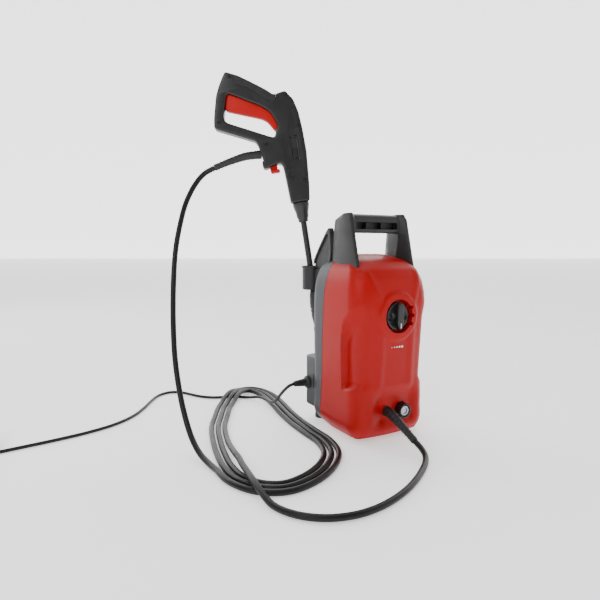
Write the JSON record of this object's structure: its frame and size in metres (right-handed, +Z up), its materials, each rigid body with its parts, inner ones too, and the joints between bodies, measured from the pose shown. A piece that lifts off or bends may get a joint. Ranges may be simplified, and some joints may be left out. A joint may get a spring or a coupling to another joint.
{
  "type": "pressure washer",
  "caption": "Compact upright electric pressure washer with carrying handle, stored trigger gun and lance, coiled hose and mains lead.",
  "frame": {"origin": "middle of the floor area that the machine and its gun cover, at the underside of the feet", "axes": "+Z up, the front with the knob and water connections faces -Y, the gun is stored at -X +Y"},
  "size_m": [0.8685, 0.6981, 0.7018],
  "materials": {
    "red_shell": "satin moulded",
    "grey_shell": "fine texture",
    "black_plastic": "fine texture",
    "signal_red": "satin moulded",
    "black_rubber": "matt",
    "hose_black": "satin extruded",
    "lead_black": "satin extruded",
    "steel": "machined",
    "aluminium": "cast",
    "cream_plastic": "plain"
  },
  "bodies": {
    "root": {"front_shell": "red_shell", "rear_shell": "grey_shell", "case_screw_1": "steel", "case_screw_2": "steel", "case_screw_3": "steel", "case_screw_4": "steel", "foot_front_left": "black_rubber", "foot_front_right": "black_rubber", "foot_rear_left": "black_rubber", "foot_rear_right": "black_rubber", "carry_handle": "black_plastic", "gun_holder": "black_plastic", "rotary_switch": "black_plastic", "outlet_fitting": "aluminium", "inlet_fitting": "aluminium", "inlet_filter": "steel", "motor_housing": "steel", "motor_cap": "aluminium", "pump_housing": "aluminium", "shaft_bearing": "steel", "piston_1": "steel", "piston_spring_1": "steel", "piston_2": "steel", "piston_spring_2": "steel", "piston_3": "steel", "piston_spring_3": "steel", "pump_head": "aluminium", "bypass_valve": "aluminium", "pressure_switch": "black_plastic", "capacitor": "aluminium", "terminal_block": "cream_plastic", "cable_gland": "black_rubber", "hose_to_gun": "hose_black", "hose_to_outlet": "hose_black", "hose_coil": "hose_black", "outlet_sleeve": "black_rubber", "power_lead": "lead_black", "power_lead_coil": "lead_black", "mains_plug": "black_rubber"},
    "knob": {"switch_knob": "black_plastic"},
    "drive_shaft": {"motor_rotor": "steel", "cooling_fan": "black_plastic", "swash_plate": "steel"},
    "inlet_nut": {"inlet_nut": "black_plastic"},
    "gun": {"gun_shell_left": "black_plastic", "gun_shell_right": "black_plastic", "grip_insert": "black_rubber", "trigger_pin": "steel", "valve_block": "aluminium", "gun_hose_sleeve": "black_rubber"},
    "trigger": {"trigger": "signal_red"},
    "lock_slide": {"lock_slide": "black_plastic"},
    "hose_clip": {"hose_clip": "signal_red"},
    "lance": {"lance_collar": "black_plastic", "lance_tube": "black_plastic", "nozzle_body": "black_plastic"},
    "nozzle_tip": {"nozzle_tip": "black_plastic"}
  },
  "joints": [
    {"name": "knob_turn", "type": "hinge", "parent": "root", "child": "knob", "pos_m": [0.07839, -0.14726, 0.235], "axis": [0, -1, 0], "range_deg": [0, 90]},
    {"name": "motor_spin", "type": "hinge", "parent": "root", "child": "drive_shaft", "pos_m": [0.07839, -0.04926, 0.22], "axis": [0, 0, 1], "continuous": true},
    {"name": "inlet_nut_turn", "type": "hinge", "parent": "root", "child": "inlet_nut", "pos_m": [0.10239, -0.13326, 0.053], "axis": [0, -1, 0], "continuous": true},
    {"name": "gun_lift", "type": "slide", "parent": "root", "child": "gun", "axis": [-0.1357, 0.0691, 0.9883], "range_m": [0, 0.24]},
    {"name": "trigger_pull", "type": "hinge", "parent": "gun", "child": "trigger", "pos_m": [-0.04457, 0.0838, 0.60165], "axis": [0.454, 0.891, 0], "range_deg": [0, 7], "stiffness_Nm_per_rad": 0.5, "springref_deg": -17.19},
    {"name": "lock_slide_move", "type": "slide", "parent": "gun", "child": "lock_slide", "axis": [-0.1357, 0.0691, 0.9883], "range_m": [0, 0.012]},
    {"name": "hose_clip_pull", "type": "slide", "parent": "gun", "child": "hose_clip", "axis": [0.1357, -0.0691, -0.9883], "range_m": [0, 0.008]},
    {"name": "lance_twist", "type": "hinge", "parent": "gun", "child": "lance", "pos_m": [0.00052, 0.06083, 0.41114], "axis": [-0.1357, 0.0691, 0.9883], "range_deg": [0, 60]},
    {"name": "nozzle_turn", "type": "hinge", "parent": "lance", "child": "nozzle_tip", "pos_m": [0.03266, 0.04445, 0.1769], "axis": [-0.1357, 0.0691, 0.9883], "range_deg": [0, 90]}
  ]
}
